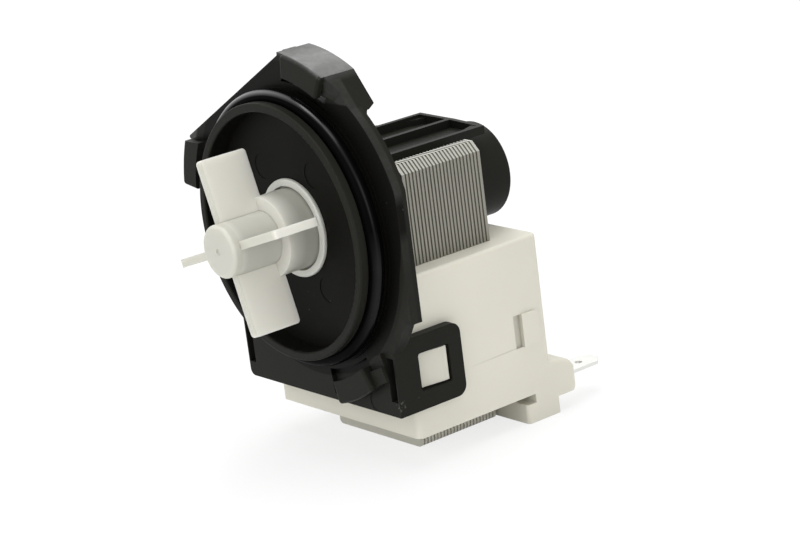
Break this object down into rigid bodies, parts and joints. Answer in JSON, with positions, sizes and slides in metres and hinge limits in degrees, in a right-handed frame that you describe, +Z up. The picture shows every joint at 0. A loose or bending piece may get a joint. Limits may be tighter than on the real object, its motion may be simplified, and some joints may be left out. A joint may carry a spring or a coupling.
{
  "type": "synchronous drain pump",
  "caption": "Small synchronous drain pump: bladed impeller in an O-ring spigot on a bayonet flange, with a rotor can, a laminated core and a coil housing with flat terminals.",
  "frame": {"origin": "on the pump axis, at the plane of the spigot's front rim", "axes": "+Y along the shaft to the closed end of the rotor can, +Z up, +X to the right seen from the impeller"},
  "size_m": [0.0753, 0.0854, 0.0939],
  "materials": {
    "cover_plastic": "black glass-filled moulding, fine matt grain",
    "seal_rubber": "black, smooth and wet-looking",
    "cap_plastic": "natural translucent moulding",
    "inner_rubber": "black",
    "bearing_carbon": "dark grey carbon bush",
    "washer_plastic": "amber slippery plastic",
    "shaft_steel": "ground stainless steel",
    "magnet_ferrite": "dark sintered ferrite",
    "carrier_plastic": "black moulding",
    "impeller_plastic": "natural translucent white moulding",
    "core_steel": "stacked electrical steel sheets, edges bare",
    "bobbin_plastic": "off-white moulding",
    "winding_copper": "enamelled copper wire, wound in layers",
    "housing_plastic": "warm off-white moulding",
    "terminal_tin": "tinned brass",
    "lead_sleeve": "pale insulated wire",
    "cutout_plastic": "dark brown moulding"
  },
  "bodies": {
    "pump_body": {"pump_cover": "cover_plastic", "spigot_seal": "seal_rubber", "bearing_cap": "cap_plastic", "cap_seal": "inner_rubber", "lip_seal": "inner_rubber", "front_bearing_mount": "inner_rubber", "rear_bearing_mount": "inner_rubber", "front_bearing": "bearing_carbon", "rear_bearing": "bearing_carbon", "pole_left": "core_steel", "pole_right": "core_steel", "core_yoke": "core_steel", "bobbin_left": "bobbin_plastic", "bobbin_right": "bobbin_plastic", "winding_left": "winding_copper", "winding_right": "winding_copper", "coil_housing": "housing_plastic", "base_plate": "housing_plastic", "terminal_left": "terminal_tin", "terminal_right": "terminal_tin", "lead_left": "lead_sleeve", "lead_right": "lead_sleeve", "link_lead": "lead_sleeve", "thermal_cutout": "cutout_plastic"},
    "rotor": {"rotor_shaft": "shaft_steel", "rotor_magnet": "magnet_ferrite", "rotor_carrier": "carrier_plastic", "front_thrust_washer": "washer_plastic", "rear_thrust_washer": "washer_plastic", "drive_dog": "carrier_plastic", "dog_buffers": "inner_rubber"},
    "impeller": {"impeller": "impeller_plastic"}
  },
  "joints": [
    {"name": "rotor_spin", "type": "hinge", "parent": "pump_body", "child": "rotor", "pos_m": [0, 0, 0], "axis": [0, 1, 0], "continuous": true},
    {"name": "impeller_free_turn", "type": "hinge", "parent": "rotor", "child": "impeller", "pos_m": [0, 0, 0], "axis": [0, 1, 0], "range_deg": [0, 102]}
  ]
}
